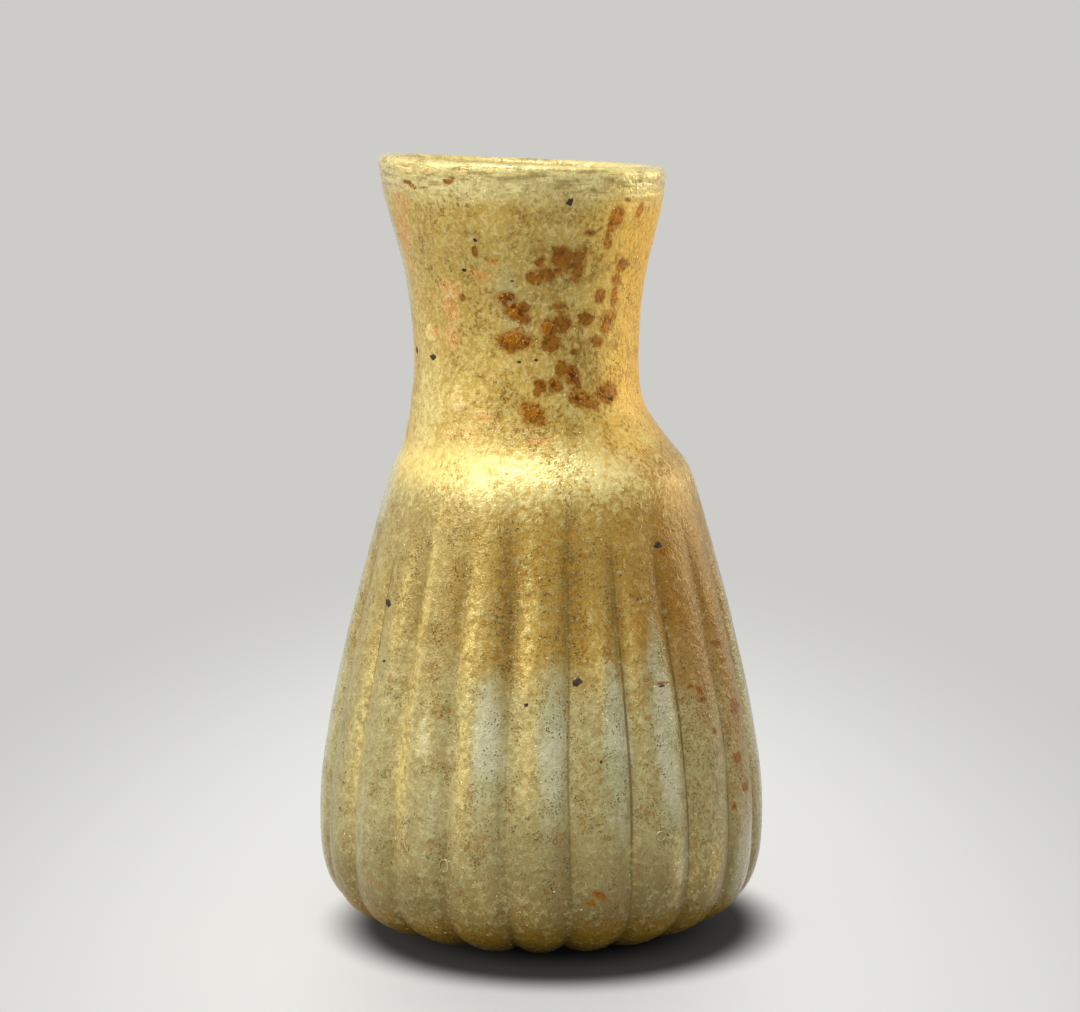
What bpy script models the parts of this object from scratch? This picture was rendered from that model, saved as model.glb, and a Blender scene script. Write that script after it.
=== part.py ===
"""Ribbed glass perfume flask: one piece of glass, blown in a ribbed mould and opened out at the mouth.

Frame: metres, +Z up, origin on the resting plane at the middle of the base. The flask's front is
towards -Y. The neck stands a little to the -X side of the body, as the glassworker left it.
"""

import math

import bpy
from mathutils import Matrix, Vector

# Driving sizes of the outer line, taken over the tops of the ribs.
HEIGHT = 0.0902
LIP_RADIUS = 0.01675
NECK_RADIUS = 0.0132
NECK_HEIGHT = 0.0675
SHOULDER_RADIUS = 0.01875
SHOULDER_HEIGHT = 0.0510
BELLY_RADIUS = 0.0266
BELLY_HEIGHT = 0.0132
RESTING_RING_RADIUS = 0.0104

# Glass thickness, measured from the bottom of a groove.
WALL = 0.0014
LIP_THICKNESS = 0.0018
FLOOR_THICKNESS = 0.0026

# Hollow under the base: the resting ring's width, and the depth at the middle and near the ring.
RING_WIDTH = 0.0026
KICK_DEPTH = 0.0009
KICK_SLOPE_WIDTH = 0.0031
KICK_SLOPE_DEPTH = 0.0007

# Ribs that the mould left. They grow out of the resting ring and die out on the shoulder.
RIB_COUNT = 22
RIB_DEPTH = 0.00095
RIB_RUN_IN = 0.0080
RIB_TOP = 0.0543
RIB_RUN_OUT = 0.0210
GROOVE_SHARPNESS = 2.4
STEPS_PER_RIB = 4

# Irregular handwork: where the neck and the lip stand, and how the lip slants and waves.
NECK_OFFSET = -0.0017
LIP_OFFSET = -0.0022
LIP_TILT = 0.0006
LIP_WAVE = 0.0001

# Form of each stretch of the outer line, as (share of the way across, share of the way up).
FOOT_SHARES = ((0.0, 0.0), (0.82, 0.237))
BODY_SHARES = ((0.0, 0.0), (0.14, 0.286), (0.44, 0.577), (0.78, 0.841))
SHOULDER_SHARES = ((0.0, 0.0), (0.215, 0.212), (0.585, 0.424), (0.895, 0.667))
NECK_SHARES = ((0.0, 0.0), (0.225, 0.42), (0.86, 0.844))

# Rows of facets between each point of the outer line and the next, from the resting ring upwards.
ROW_COUNTS = (4, 4) + (2, 2, 2, 2) + (1, 2, 2, 2) + (2, 2, 1)

# The neck's sideways step lies between these shares of the way up from shoulder to neck.
STEP_START = 0.20
STEP_END = 0.75

LIP_ROWS = 4
OUTER_ROWS_PER_INNER_ROW = 2
MERGE_DISTANCE = 0.000001
GLASS_COLOUR = (0.66, 0.56, 0.30, 1.0)
GLASS_ROUGHNESS = 0.45


def eased(share):
    """A share from 0 to 1 that starts and ends gently."""
    share = min(1.0, max(0.0, share))
    return share * share * (3 - 2 * share)


def stretch(start, end, shares):
    """The stations of one stretch of the outer line, without its end."""
    way = end - start
    return [start + Vector((way.x * across, way.y * up)) for across, up in shares]


def outer_stations():
    """Points that the outer line passes through, as (radius, height), from the resting ring to the lip."""
    ring = Vector((RESTING_RING_RADIUS, 0.0))
    belly = Vector((BELLY_RADIUS, BELLY_HEIGHT))
    shoulder = Vector((SHOULDER_RADIUS, SHOULDER_HEIGHT))
    neck = Vector((NECK_RADIUS, NECK_HEIGHT))
    lip = Vector((LIP_RADIUS, HEIGHT - LIP_THICKNESS / 2))
    stations = stretch(ring, belly, FOOT_SHARES) + stretch(belly, shoulder, BODY_SHARES)
    stations += stretch(shoulder, neck, SHOULDER_SHARES) + stretch(neck, lip, NECK_SHARES)
    return stations + [lip]


def directions(points, level, upright):
    """The way the line runs at each point: level or upright where named, else between its neighbours."""
    last = len(points) - 1
    found = []
    for i in range(last + 1):
        ahead = points[min(i + 1, last)] - points[max(i - 1, 0)]
        if i == level:
            ahead = Vector((1.0, 0.0))
        if i == upright:
            ahead = Vector((0.0, 1.0))
        found.append(ahead.normalized())
    return found


def smooth_line(points, ways, rows):
    """Rows of points on a smooth line through the given ones, each with the line's direction there."""
    line = []
    for i in range(len(points) - 1):
        start, end = points[i], points[i + 1]
        handle = (end - start).length / 3
        first, second = start + ways[i] * handle, end - ways[i + 1] * handle
        for row in range(rows[i]):
            t = row / rows[i]
            u = 1 - t
            point = start * u**3 + first * 3 * u * u * t + second * 3 * u * t * t + end * t**3
            ahead = (first - start) * u * u + (second - first) * 2 * u * t + (end - second) * t * t
            line.append((point, ahead.normalized()))
    line.append((points[-1], ways[-1]))
    return line


def inward(ahead):
    """The direction into the glass from an outer line that runs this way."""
    return Vector((-ahead.y, ahead.x))


def rib_depth(point):
    """How deep the grooves are at a point of the outer line."""
    run_in = eased((point.x - RESTING_RING_RADIUS) / RIB_RUN_IN)
    run_out = eased((RIB_TOP - point.y) / RIB_RUN_OUT)
    return RIB_DEPTH * (run_in if point.y < BELLY_HEIGHT else run_out)


def inner_points(points, ways):
    """The inner wall's stations: the outer ones moved in past the groove and the glass."""
    lip = len(points) - 1
    moved = [Vector((points[0].x, FLOOR_THICKNESS))]
    for i in range(1, lip + 1):
        glass = LIP_THICKNESS if i == lip else WALL + rib_depth(points[i])
        moved.append(points[i] + inward(ways[i]) * glass)
    return moved


def lip_arc(outside, inside):
    """The rounded top of the lip, from the outer wall over to the inner one, without its ends."""
    centre, spoke = (outside + inside) / 2, (outside - inside) / 2
    return [centre + Matrix.Rotation(math.pi * row / LIP_ROWS, 2) @ spoke for row in range(1, LIP_ROWS)]


def wall_profile():
    """The glass's section as (point, groove press), from the inside floor over the lip to the kick."""
    points = outer_stations()
    ways = directions(points, 0, len(FOOT_SHARES))
    outer = smooth_line(points, ways, ROW_COUNTS)
    inner = inner_points(points, ways)
    inside = smooth_line(inner, ways, [math.ceil(count / OUTER_ROWS_PER_INNER_ROW) for count in ROW_COUNTS])
    flat = Vector((0.0, 0.0))
    ring_inside = RESTING_RING_RADIUS - RING_WIDTH
    profile = [(Vector((0.0, FLOOR_THICKNESS)), flat)]
    profile += [(point, flat) for point, _ in inside]
    profile += [(point, flat) for point in reversed(lip_arc(points[-1], inner[-1]))]
    profile += [(point, inward(ahead) * rib_depth(point)) for point, ahead in reversed(outer)]
    profile += [(Vector((ring_inside, 0.0)), flat)]
    profile += [(Vector((ring_inside - KICK_SLOPE_WIDTH, KICK_SLOPE_DEPTH)), flat)]
    profile += [(Vector((0.0, KICK_DEPTH)), flat)]
    return profile


def turned_wall(collection):
    """The profile turned about the vertical axis, each point keeping the way a groove presses it."""
    profile = wall_profile()
    section = bpy.data.meshes.new("wall_section")
    section.from_pydata([(point.x, 0.0, point.y) for point, _ in profile],
                        [(i, i + 1) for i in range(len(profile) - 1)], [])
    pressing = section.attributes.new("groove_press", "FLOAT_VECTOR", "POINT")
    for stored, (_, press) in zip(pressing.data, profile):
        stored.vector = (press.x, press.y, 0.0)
    turning = bpy.data.objects.new("wall_section", section)
    collection.objects.link(turning)
    screw = turning.modifiers.new("turn", "SCREW")
    screw.steps = RIB_COUNT * STEPS_PER_RIB
    screw.render_steps = screw.steps
    screw.use_merge_vertices = True
    screw.merge_threshold = MERGE_DISTANCE
    turned = bpy.data.meshes.new_from_object(turning.evaluated_get(bpy.context.evaluated_depsgraph_get()))
    bpy.data.objects.remove(turning)
    return turned


def groove(angle):
    """0 along the top of a rib and 1 along the bottom of a groove. A rib faces the front."""
    phase = (angle + math.pi / 2) * RIB_COUNT / math.tau
    return abs(2 * (phase - round(phase))) ** GROOVE_SHARPNESS


def handwork(place, angle):
    """How far the glass at this place stands from a true turned form."""
    step_rise = (place.z - SHOULDER_HEIGHT) / (NECK_HEIGHT - SHOULDER_HEIGHT)
    flare = eased((place.z - NECK_HEIGHT) / (HEIGHT - NECK_HEIGHT))
    sideways = NECK_OFFSET * eased((step_rise - STEP_START) / (STEP_END - STEP_START))
    sideways += (LIP_OFFSET - NECK_OFFSET) * flare
    upwards = (LIP_WAVE * math.cos(2 * angle) - LIP_TILT * math.cos(angle)) * flare
    return Vector((sideways, 0.0, upwards))


def press_and_set(glass):
    """Presses the grooves into the turned wall and sets the neck and lip as the handwork left them."""
    pressing = glass.attributes["groove_press"]
    for vertex, stored in zip(glass.vertices, pressing.data):
        angle = math.atan2(vertex.co.y, vertex.co.x)
        press = stored.vector * groove(angle)
        vertex.co += Vector((math.cos(angle) * press.x, math.sin(angle) * press.x, press.y))
        vertex.co += handwork(vertex.co, angle)
    glass.attributes.remove(pressing)


def glass_material():
    material = bpy.data.materials.new("weathered_glass")
    material.use_nodes = True
    shader = material.node_tree.nodes["Principled BSDF"]
    shader.inputs["Base Color"].default_value = GLASS_COLOUR
    shader.inputs["Roughness"].default_value = GLASS_ROUGHNESS
    shader.inputs["Metallic"].default_value = 0.0
    return material


def main():
    for item in list(bpy.data.objects):
        bpy.data.objects.remove(item)
    collection = bpy.data.collections.new("perfume_flask")
    bpy.context.scene.collection.children.link(collection)
    glass = turned_wall(collection)
    press_and_set(glass)
    glass.materials.append(glass_material())
    glass.shade_smooth()
    collection.objects.link(bpy.data.objects.new("flask_glass", glass))


main()
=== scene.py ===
"""Looks of the ribbed glass perfume flask.

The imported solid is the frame. One fine mesh of the weathered glass stands for it, and the iron
deposits, pale crust, grit, bubble rings and grains lie on that glass. Units are metres, +Z up, and the
flask's front is towards -Y. Angles go round from the front, in degrees, positive to the right.
"""

import math
import random

import bmesh
import bpy
import numpy as np
from mathutils import Matrix, Vector
from mathutils.bvhtree import BVHTree


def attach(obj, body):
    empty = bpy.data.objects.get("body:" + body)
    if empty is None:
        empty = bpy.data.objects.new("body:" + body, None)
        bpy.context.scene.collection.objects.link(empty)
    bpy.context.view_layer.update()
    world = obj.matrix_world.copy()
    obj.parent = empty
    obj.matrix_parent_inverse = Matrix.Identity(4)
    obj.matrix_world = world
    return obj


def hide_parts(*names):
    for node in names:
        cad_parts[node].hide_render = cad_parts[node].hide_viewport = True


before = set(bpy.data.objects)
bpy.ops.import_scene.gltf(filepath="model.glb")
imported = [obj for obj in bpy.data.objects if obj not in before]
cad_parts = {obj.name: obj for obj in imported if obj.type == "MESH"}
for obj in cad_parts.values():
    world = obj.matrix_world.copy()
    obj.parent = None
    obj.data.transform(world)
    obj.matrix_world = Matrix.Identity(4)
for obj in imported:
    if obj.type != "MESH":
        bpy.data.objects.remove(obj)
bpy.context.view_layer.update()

MM = 0.001

# The glass wall, as the frame's solid has it. Its outer line runs over the rib tops, from the resting ring
# to the lip, through stations given as (radius, height) in millimetres.
FOOT_LINE = ((10.4, 0.0), (23.68, 3.13))
BODY_LINE = ((26.6, 13.2), (25.5, 24.0), (23.15, 35.0), (20.48, 45.0))
SHOULDER_LINE = ((18.75, 51.0), (17.56, 54.5), (15.5, 58.0), (13.78, 62.0))
NECK_LINE = ((13.2, 67.5), (14.0, 76.66), (16.25, 85.86), (16.75, 89.3))
BELLY_STATION = len(FOOT_LINE)
STATIONS = FOOT_LINE + BODY_LINE + SHOULDER_LINE + NECK_LINE
WALL = 1.4 * MM
LIP_THICKNESS = 1.8 * MM
FLOOR_THICKNESS = 2.6 * MM
RESTING_RING = 10.4 * MM
RING_WIDTH = 2.6 * MM
KICK_DEPTH = 0.9 * MM
PONTIL_RADIUS = 3.2 * MM
PONTIL_HEIGHT = 0.36 * MM
BELLY_HEIGHT = 13.2 * MM
NECK_HEIGHT = 67.5 * MM
LIP_HEIGHT = 90.2 * MM

# Ribs. A crease starts at a share of the way from rib top to groove bottom, and glass counts as fully ribbed
# from a share of the full groove depth.
RIB_COUNT = 22
RIB_DEPTH = 0.95 * MM
RIB_RUN_IN = 8.0 * MM
RIB_TOP = 54.3 * MM
RIB_RUN_OUT = 21.0 * MM
GROOVE_SHARPNESS = 2.3
INNER_RIB_SHARE = 0.4
STEPS_PER_RIB = 14
CREASE_START = 0.80
RIBBED_SHARE = 0.6

# How far one swing of the rib lines' wandering, the ribs' vigour, the blown swelling and the fine relief
# reaches. The first two are read on a flattened ring, so that they change little in height.
WANDER_RADIUS = 14 * MM
WANDER_RISE = 0.35
WANDER_REACH = 11 * MM
VIGOUR_REACH = 9 * MM
VIGOUR_LEAST = 0.62
VIGOUR_RANGE = 0.7
SWELLING_REACH = 13 * MM
RELIEF_REACH = 1.3 * MM

# Handwork: where neck and lip stand, and how the lip slants.
NECK_OFFSET = -1.7 * MM
LIP_OFFSET = -2.2 * MM
STEP_LOW = 54.3 * MM
STEP_HIGH = 63.4 * MM
LIP_TILT = 0.6 * MM
LIP_LIFT_LEFT = 0.25 * MM

# Spacing of the wall's rows.
OUTER_ROW = 0.45 * MM
INNER_ROW = 1.4 * MM
LIP_ARC_ROWS = 9
KICK_ROWS = 8
SEAM_MERGE = 0.002 * MM

# How much of the uneven relief each stretch of the wall takes: floor, inside, lip and outside.
FLOOR_RELIEF = 0.3
INSIDE_RELIEF = 0.5
LIP_RELIEF = 0.6
OUTSIDE_RELIEF = 1.0

# The camera, fitted to the flask's outline in the photograph's 1080 x 1012 frame. Its distance is in
# millimetres.
PHOTO_WIDTH = 1080
PHOTO_HEIGHT = 1012
FOCAL_PIXELS = 2813.4
SENSOR_WIDTH = 36.0
CAMERA_DISTANCE = 330.1
CAMERA_PLACE = Vector((-0.12, -CAMERA_DISTANCE, 97.9)) * MM
CAMERA_AIM = Vector((-0.12, 0.0, 49.7)) * MM
NEAREST_SEEN = 0.01

# Size of a photograph's pixel on the flask.
PIXEL = CAMERA_DISTANCE * MM / FOCAL_PIXELS

# Marks on glass that turns away from the camera are widened, but not beyond this share of facing.
LEAST_FACING = 0.35


class Field:
    """A value that a node tree works out, so that a formula on it reads as plain arithmetic."""

    def __init__(self, tree, socket):
        self.tree = tree
        self.socket = socket

    def __add__(self, other):
        return combine(self.tree, "ADD", self, other)

    def __sub__(self, other):
        return combine(self.tree, "SUBTRACT", self, other)

    def __rsub__(self, other):
        return combine(self.tree, "SUBTRACT", other, self)

    def __mul__(self, other):
        return combine(self.tree, "MULTIPLY", self, other)

    def __truediv__(self, other):
        return combine(self.tree, "DIVIDE", self, other)

    def __pow__(self, other):
        return combine(self.tree, "POWER", self, other)

    __radd__ = __add__
    __rmul__ = __mul__


def feed(tree, socket, value):
    """Links a field to an input, or sets the input to a plain value."""
    if isinstance(value, Field):
        tree.links.new(value.socket, socket)
    else:
        socket.default_value = value


def node(tree, kind, inputs=None, **settings):
    """Adds a node, with its settings and its inputs by name."""
    added = tree.nodes.new(kind)
    for name, value in settings.items():
        setattr(added, name, value)
    for name, value in (inputs or {}).items():
        feed(tree, added.inputs[name], value)
    return added


def output(tree, kind, inputs=None, name=None, **settings):
    """Adds a node and gives one of its outputs as a field, the first unless it is named."""
    added = node(tree, kind, inputs, **settings)
    return Field(tree, added.outputs[name] if name else added.outputs[0])


def combine(tree, operation, *values):
    """A Math node on one to three values."""
    added = tree.nodes.new("ShaderNodeMath")
    added.operation = operation
    for socket, value in zip(added.inputs, values):
        feed(tree, socket, value)
    return Field(tree, added.outputs[0])


def ramp(field, low, high):
    """0 below low, 1 above high and a smooth rise between. High may be the smaller one."""
    return output(field.tree, "ShaderNodeMapRange", {"Value": field, "From Min": low, "From Max": high},
                  interpolation_type="SMOOTHSTEP")


def vector(tree, x, y, z):
    """Three values as one vector field."""
    return output(tree, "ShaderNodeCombineXYZ", {"X": x, "Y": y, "Z": z})


def scaled(tree, field, factor):
    """A vector field times a number or a field."""
    added = node(tree, "ShaderNodeVectorMath", operation="SCALE")
    feed(tree, added.inputs["Vector"], field)
    feed(tree, added.inputs["Scale"], factor)
    return Field(tree, added.outputs["Vector"])


def parts_of(tree, field):
    """The x, y and z of a vector field."""
    split = node(tree, "ShaderNodeSeparateXYZ", {"Vector": field})
    return [Field(tree, socket) for socket in split.outputs]


def noise(tree, place, scale, detail, roughness=0.5):
    """Cloudy noise from 0 to 1. Scale is in features per unit of the place."""
    return output(tree, "ShaderNodeTexNoise",
                  {"Vector": place, "Scale": scale, "Detail": detail, "Roughness": roughness})


def eased(share):
    """A share from 0 to 1 that starts and ends gently."""
    share = min(1.0, max(0.0, share))
    return share * share * (3 - 2 * share)


def directions(points):
    """The way the line runs at each station: level at the ring, upright at the belly."""
    last = len(points) - 1
    found = [(points[min(i + 1, last)] - points[max(i - 1, 0)]).normalized() for i in range(last + 1)]
    found[0] = Vector((1.0, 0.0))
    found[BELLY_STATION] = Vector((0.0, 1.0))
    return found


def smooth_line(points, ways, spacing):
    """Evenly spaced rows on a smooth line through the stations, each as (point, direction)."""
    line = []
    for i in range(len(points) - 1):
        start, end = points[i], points[i + 1]
        length = (end - start).length
        first, second = start + ways[i] * length / 3, end - ways[i + 1] * length / 3
        rows = max(2, round(length / spacing))
        for row in range(rows):
            t = row / rows
            u = 1 - t
            point = start * u**3 + first * 3 * u * u * t + second * 3 * u * t * t + end * t**3
            ahead = (first - start) * u * u + (second - first) * 2 * u * t + (end - second) * t * t
            line.append((point, ahead.normalized()))
    line.append((points[-1], ways[-1]))
    return line


def inward(ahead):
    """The direction into the glass from an outer line that runs this way."""
    return Vector((-ahead.y, ahead.x))


def rib_depth(point):
    """How deep the grooves are at a point of the outer line."""
    run_in = eased((point.x - RESTING_RING) / RIB_RUN_IN)
    run_out = eased((RIB_TOP - point.y) / RIB_RUN_OUT)
    return RIB_DEPTH * (run_in if point.y < BELLY_HEIGHT else run_out)


def wall_rows():
    """The section of the glass from the inside floor over the lip to the kick.

    Each row is (point, way into the glass, groove depth, groove level that stays put, relief share).
    """
    stations = [Vector(pair) * MM for pair in STATIONS]
    ways = directions(stations)
    thickness = [WALL + rib_depth(point) for point in stations]
    thickness[-1] = LIP_THICKNESS
    inner = [point + inward(way) * glass for point, way, glass in zip(stations, ways, thickness)]
    inner[0] = Vector((RESTING_RING, FLOOR_THICKNESS))
    outside = smooth_line(stations, ways, OUTER_ROW)
    inside = smooth_line(inner, ways, INNER_ROW)
    floor_points = [Vector((RESTING_RING * i / KICK_ROWS, FLOOR_THICKNESS)) for i in range(KICK_ROWS)]
    rows = [(point, Vector((0.0, -1.0)), 0.0, 0.0, FLOOR_RELIEF) for point in floor_points]
    rows += [(point, inward(ahead), rib_depth(point) * INNER_RIB_SHARE, 0.5, INSIDE_RELIEF)
             for point, ahead in inside]
    centre, spoke = (stations[-1] + inner[-1]) / 2, (stations[-1] - inner[-1]) / 2
    for i in reversed(range(1, LIP_ARC_ROWS)):
        turned = Matrix.Rotation(math.pi * i / LIP_ARC_ROWS, 2) @ spoke
        rows.append((centre + turned, -turned.normalized(), 0.0, 0.0, LIP_RELIEF))
    rows += [(point, inward(ahead), rib_depth(point), 0.0, OUTSIDE_RELIEF)
             for point, ahead in reversed(outside)]
    kick_rim = RESTING_RING - RING_WIDTH
    for i in range(KICK_ROWS + 1):
        radius = kick_rim * (1 - i / KICK_ROWS)
        scar = PONTIL_HEIGHT * eased(3 * (PONTIL_RADIUS - radius) / PONTIL_RADIUS)
        height = KICK_DEPTH * eased(2 * i / KICK_ROWS) - scar
        rows.append((Vector((radius, height)), Vector((0.0, 1.0)), 0.0, 0.0, OUTSIDE_RELIEF if i else 0.0))
    return rows


def section_object():
    """The section as a chain of points that keep what the wall tree needs for each row."""
    rows = wall_rows()
    mesh = bpy.data.meshes.new("glass_section")
    mesh.from_pydata([(point.x, 0.0, point.y) for point, *_ in rows],
                     [(i, i + 1) for i in range(len(rows) - 1)], [])
    into = mesh.attributes.new("into_glass", "FLOAT_VECTOR", "POINT")
    into.data.foreach_set("vector", [n for _, way, *_ in rows for n in (way.x, 0.0, way.y)])
    for name, place in (("groove_depth", 2), ("groove_rest", 3), ("relief_share", 4)):
        stored = mesh.attributes.new(name, "FLOAT", "POINT")
        stored.data.foreach_set("value", [row[place] for row in rows])
    section = bpy.data.objects.new("glass_wall", mesh)
    bpy.context.scene.collection.objects.link(section)
    return section


# Named inputs of the wall tree: kind of socket and value.
WALL_INPUTS = {
    "Segments": ("NodeSocketInt", RIB_COUNT * STEPS_PER_RIB),
    "Ribs": ("NodeSocketFloat", RIB_COUNT),
    "Groove Sharpness": ("NodeSocketFloat", GROOVE_SHARPNESS),
    "Crease Depth": ("NodeSocketFloat", 0.08),
    "Rib Wander": ("NodeSocketFloat", 0.34),
    "Blown Unevenness": ("NodeSocketFloat", 0.32 * MM),
    "Weathered Relief": ("NodeSocketFloat", 0.05 * MM),
}


def new_geometry_tree(name, inputs):
    """An empty Geometry Nodes tree with named inputs. Returns it, its input node and its output node."""
    tree = bpy.data.node_groups.new(name, "GeometryNodeTree")
    tree.interface.new_socket("Geometry", in_out="INPUT", socket_type="NodeSocketGeometry")
    tree.interface.new_socket("Geometry", in_out="OUTPUT", socket_type="NodeSocketGeometry")
    for label, (kind, value) in inputs.items():
        tree.interface.new_socket(label, in_out="INPUT", socket_type=kind).default_value = value
    entry = tree.nodes.new("NodeGroupInput")
    leave = tree.nodes.new("NodeGroupOutput")
    return tree, entry, leave


def close_tree(tree, leave, geometry, material):
    """Ends a tree with Realize Instances and Set Material."""
    whole = output(tree, "GeometryNodeRealizeInstances", {"Geometry": geometry})
    dressed = node(tree, "GeometryNodeSetMaterial", {"Geometry": whole, "Material": material})
    tree.links.new(dressed.outputs[0], leave.inputs[0])


def wall_tree(material):
    """Turns the section about the vertical axis and presses the ribs into it."""
    tree, entry, leave = new_geometry_tree("pressed_glass_wall", WALL_INPUTS)
    given = {socket.name: Field(tree, socket) for socket in entry.outputs if socket.name}
    section = given["Geometry"]
    rows = output(tree, "GeometryNodeAttributeDomainSize", {"Geometry": section}, name="Point Count")
    across = given["Segments"] + 1
    sheet = output(tree, "GeometryNodeMeshGrid", {"Vertices X": rows, "Vertices Y": across})
    index = output(tree, "GeometryNodeInputIndex")
    row = combine(tree, "FLOOR", index / across)
    column = index - row * across
    angle = column / given["Segments"] * math.tau - math.pi

    def kept(name, kind):
        """What the section keeps under this name, for the row of each point of the sheet."""
        if name == "position":
            value = output(tree, "GeometryNodeInputPosition")
        else:
            value = output(tree, "GeometryNodeInputNamedAttribute", {"Name": name}, data_type=kind)
        return output(tree, "GeometryNodeSampleIndex", {"Geometry": section, "Value": value, "Index": row},
                      data_type=kind)

    radius, _, height = parts_of(tree, kept("position", "FLOAT_VECTOR"))
    into_radius, _, into_height = parts_of(tree, kept("into_glass", "FLOAT_VECTOR"))
    groove_depth = kept("groove_depth", "FLOAT")
    groove_rest = kept("groove_rest", "FLOAT")
    relief_share = kept("relief_share", "FLOAT")

    sine = combine(tree, "SINE", angle)
    cosine = combine(tree, "COSINE", angle)
    plain_place = vector(tree, radius * sine, radius * cosine * -1.0, height)
    low_place = vector(tree, sine * WANDER_RADIUS, cosine * WANDER_RADIUS, height * WANDER_RISE)
    wander = (noise(tree, low_place, 1 / WANDER_REACH, detail=1.0) - 0.5) * given["Rib Wander"]
    phase = angle * given["Ribs"] / math.tau + wander
    side = (phase - combine(tree, "ROUND", phase)) * 2
    away = combine(tree, "ABSOLUTE", side)
    crease = ramp(away, CREASE_START, 1.0) * given["Crease Depth"]
    groove = away ** given["Groove Sharpness"] * (1 - given["Crease Depth"]) + crease
    vigour = noise(tree, low_place, 1 / VIGOUR_REACH, detail=1.0) * VIGOUR_RANGE + VIGOUR_LEAST
    press = (groove - groove_rest) * groove_depth * vigour

    uneven = (noise(tree, plain_place, 1 / SWELLING_REACH, detail=1.0) - 0.5) * given["Blown Unevenness"]
    relief = noise(tree, plain_place, 1 / RELIEF_REACH, detail=3.0, roughness=0.6)
    weathered = (relief - 0.5) * given["Weathered Relief"]
    moved = press + (uneven + weathered) * relief_share
    new_radius = radius + into_radius * moved
    new_height = height + into_height * moved

    step = ramp(height, STEP_LOW, STEP_HIGH)
    flare = ramp(height, NECK_HEIGHT, LIP_HEIGHT)
    sideways = step * NECK_OFFSET + flare * (LIP_OFFSET - NECK_OFFSET)
    leftwards = combine(tree, "MAXIMUM", sine * -1.0, 0.0)
    rise = (sine * -LIP_TILT + leftwards * leftwards * LIP_LIFT_LEFT) * flare
    place = vector(tree, new_radius * sine + sideways, new_radius * cosine * -1.0, new_height + rise)

    marked = sheet
    ribbed = ramp(groove_depth, 0.0, RIB_DEPTH * RIBBED_SHARE)
    marks = {"wander": wander, "ribbed": ribbed, "outside": relief_share}
    for name, value in marks.items():
        marked = output(tree, "GeometryNodeStoreNamedAttribute",
                        {"Geometry": marked, "Name": name, "Value": value}, data_type="FLOAT")
    turned = output(tree, "GeometryNodeSetPosition", {"Geometry": marked, "Position": place})
    closed = output(tree, "GeometryNodeMergeByDistance", {"Geometry": turned, "Distance": SEAM_MERGE})
    smooth = output(tree, "GeometryNodeSetShadeSmooth", {"Geometry": closed})
    close_tree(tree, leave, smooth, material)
    return tree


def grown(source, tree):
    """The plain mesh that a Geometry Nodes tree makes of an object. The modifier is removed again."""
    modifier = source.modifiers.new(tree.name, "NODES")
    modifier.node_group = tree
    for socket in tree.interface.items_tree:
        if socket.in_out == "INPUT" and hasattr(socket, "default_value") and socket.name != "Geometry":
            modifier[socket.identifier] = socket.default_value
    graph = bpy.context.evaluated_depsgraph_get()
    mesh = bpy.data.meshes.new_from_object(source.evaluated_get(graph))
    source.modifiers.remove(modifier)
    return mesh


def places_of(mesh):
    """The place of each point of a mesh, in metres."""
    places = np.empty(len(mesh.vertices) * 3)
    mesh.vertices.foreach_get("co", places)
    return places.reshape(-1, 3)


def polar(mesh):
    """Angle from the front in degrees and height in millimetres of each point of a mesh."""
    places = places_of(mesh)
    angles = np.degrees(np.arctan2(places[:, 0], -places[:, 1]))
    return angles, places[:, 2] / MM


# Stretches of the glass that are worn clear, amber, pale, blushing pink, dirty in the grooves or murky,
# each as (angle, height in mm, reach round in degrees, reach up in mm, strength). Some clear, amber and pale
# stretches are painted light and shade, as noted in the tables.
CLEAR_AND_EDGE_LIGHT_ZONES = (
    (3, 26, 4.6, 9, 1.0), (20, 26, 4.2, 10, 1.0), (35, 27, 5, 13, 1.0), (-14, 26, 4.6, 9, 0.9),
    (-32, 27, 2.4, 4, 0.6), (-28, 19, 5, 6, 0.4), (-53, 14, 8, 9, 0.4), (66, 10, 9, 9, 0.7),
    (38, 12, 4, 5, 0.5), (51, 17, 5, 8, 0.4), (-14, 74, 12, 6, 0.45), (3, 63.5, 8, 3, 0.3),
    # The stretches at -84, 86 and -80 degrees here, and at -86 degrees on the neck below, lie on the left and
    # right outline: partly clear glass, partly painted light seen through the glass's edges.
    (-84, 24, 10, 30, 0.9), (86, 24, 11, 30, 0.9), (-80, 52, 12, 7, 0.7), (150, 24, 12, 12, 0.6),
    (-140, 20, 10, 10, 0.6), (110, 30, 8, 9, 0.5), (-115, 33, 9, 8, 0.5), (-86, 80, 12, 12, 0.9),
)
AMBER_AND_SHADE_ZONES = (
    (52, 37, 13, 10, 1.1), (66, 30, 8, 15, 1.0), (58, 46, 14, 7, 0.9), (42, 42, 6, 6, 0.7),
    # The stretch at 72 degrees and 55 mm is darker amber, painted as shade on the right shoulder.
    (12, 44, 30, 8, 0.42), (72, 55, 16, 5, 0.7), (0, 60.5, 40, 2.2, 0.42),
    (-11, 43, 4.0, 9, 1.3), (9.5, 44, 4.4, 9, 1.4), (-30, 41, 3, 8, 0.5), (-46, 49, 5, 3, 0.6),
    (29, 44, 4, 6, 0.6), (-10, 35, 3, 5, 0.5), (70, 72, 24, 20, 0.6), (-36, 79, 10, 8, 0.4),
    (-18, 63, 8, 2.5, 0.6), (-52, 80, 10, 9, 0.4), (17, 4, 8, 3, 0.5), (30, 66, 16, 8, 0.3),
    (130, 40, 16, 12, 0.6), (-120, 44, 14, 10, 0.5), (180, 34, 16, 14, 0.5), (100, 18, 12, 9, 0.5),
)
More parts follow.
